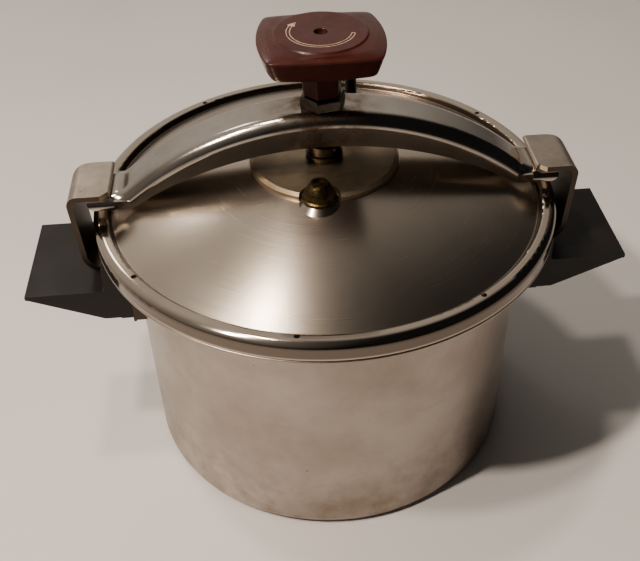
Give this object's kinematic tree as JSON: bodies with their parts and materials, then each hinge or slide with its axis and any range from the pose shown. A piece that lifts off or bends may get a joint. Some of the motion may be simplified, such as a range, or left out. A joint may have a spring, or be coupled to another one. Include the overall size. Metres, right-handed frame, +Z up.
{
  "type": "clamp-lid pressure cooker",
  "caption": "Stainless steel pressure pot with a lid held down by a screw-tightened clamp bar under two hooks, with side handles and valves.",
  "frame": {"origin": "middle of the pot's base, on the surface it stands on", "axes": "+Z up along the pot's and the screw's axis; +X along the clamp bar from one hook to the other; the relief valve is on the -Y side"},
  "size_m": [0.3396, 0.2574, 0.256],
  "materials": {
    "pot_steel": "satin",
    "lid_steel": "polished",
    "plate_steel": "satin",
    "bar_steel": "satin",
    "hook_steel": "satin",
    "bracket_steel": "satin",
    "machined_steel": "turned",
    "zinc_steel": "zinc plated",
    "aged_brass": "aged",
    "weight_steel": "turned",
    "black_bakelite": "semi-matt",
    "maroon_bakelite": "semi-gloss",
    "grip_plastic": "matt",
    "gasket_rubber": "matt",
    "seal_rubber": "matt",
    "spring_steel": "drawn"
  },
  "bodies": {
    "pot": {"pot_body": "pot_steel", "left_hook": "hook_steel", "right_hook": "hook_steel", "left_bracket": "bracket_steel", "right_bracket": "bracket_steel", "left_handle": "black_bakelite", "right_handle": "black_bakelite", "handle_screws": "zinc_steel"},
    "lid": {"lid_shell": "lid_steel", "lid_gasket": "gasket_rubber", "centre_plate": "plate_steel", "relief_body": "aged_brass", "relief_spring": "spring_steel", "relief_screw": "aged_brass", "relief_washer": "seal_rubber", "relief_nut": "zinc_steel", "vent_nozzle": "machined_steel", "nozzle_washer": "seal_rubber", "nozzle_nut": "zinc_steel"},
    "relief_stopper": {"relief_ball": "spring_steel"},
    "regulator_slide": {"regulator_needle": "machined_steel"},
    "regulator": {"regulator_weight": "weight_steel", "regulator_grip": "grip_plastic"},
    "foot": {"pressure_foot": "machined_steel", "foot_pin": "spring_steel"},
    "screw": {"spindle": "machined_steel", "knob_body": "maroon_bakelite", "knob_screw": "zinc_steel"},
    "yoke": {"yoke_bar": "bar_steel", "screw_bush": "machined_steel"}
  },
  "joints": [
    {"name": "lid_turn", "type": "hinge", "parent": "pot", "child": "lid", "pos_m": [0, 0, 0.1526], "axis": [0, 0, 1], "continuous": true},
    {"name": "yoke_swing", "type": "hinge", "parent": "lid", "child": "foot", "pos_m": [0, 0, 0.184], "axis": [0, 0, 1], "range_deg": [-55, 20]},
    {"name": "knob_turn", "type": "hinge", "parent": "foot", "child": "screw", "pos_m": [0, 0, 0.1874], "axis": [0, 0, 1], "range_deg": [0, 360]},
    {"name": "yoke_drop", "type": "slide", "parent": "foot", "child": "yoke", "axis": [0, 0, -1], "range_m": [0, 0.002]},
    {"name": "regulator_lift", "type": "slide", "parent": "lid", "child": "regulator_slide", "axis": [0, 0, 1], "range_m": [0, 0.008]},
    {"name": "regulator_spin", "type": "hinge", "parent": "regulator_slide", "child": "regulator", "pos_m": [0.01853, 0.03545, 0.19], "axis": [0, 0, 1], "continuous": true},
    {"name": "relief_lift", "type": "slide", "parent": "lid", "child": "relief_stopper", "axis": [0, 0, 1], "range_m": [0, 0.0008], "stiffness_N_per_m": 200, "springref_m": -0.002, "deforming": ["relief_spring"]}
  ],
  "couplings": [
    {"joint": "yoke_drop", "follows": "knob_turn", "m_per_rad": 0.00031831}
  ]
}
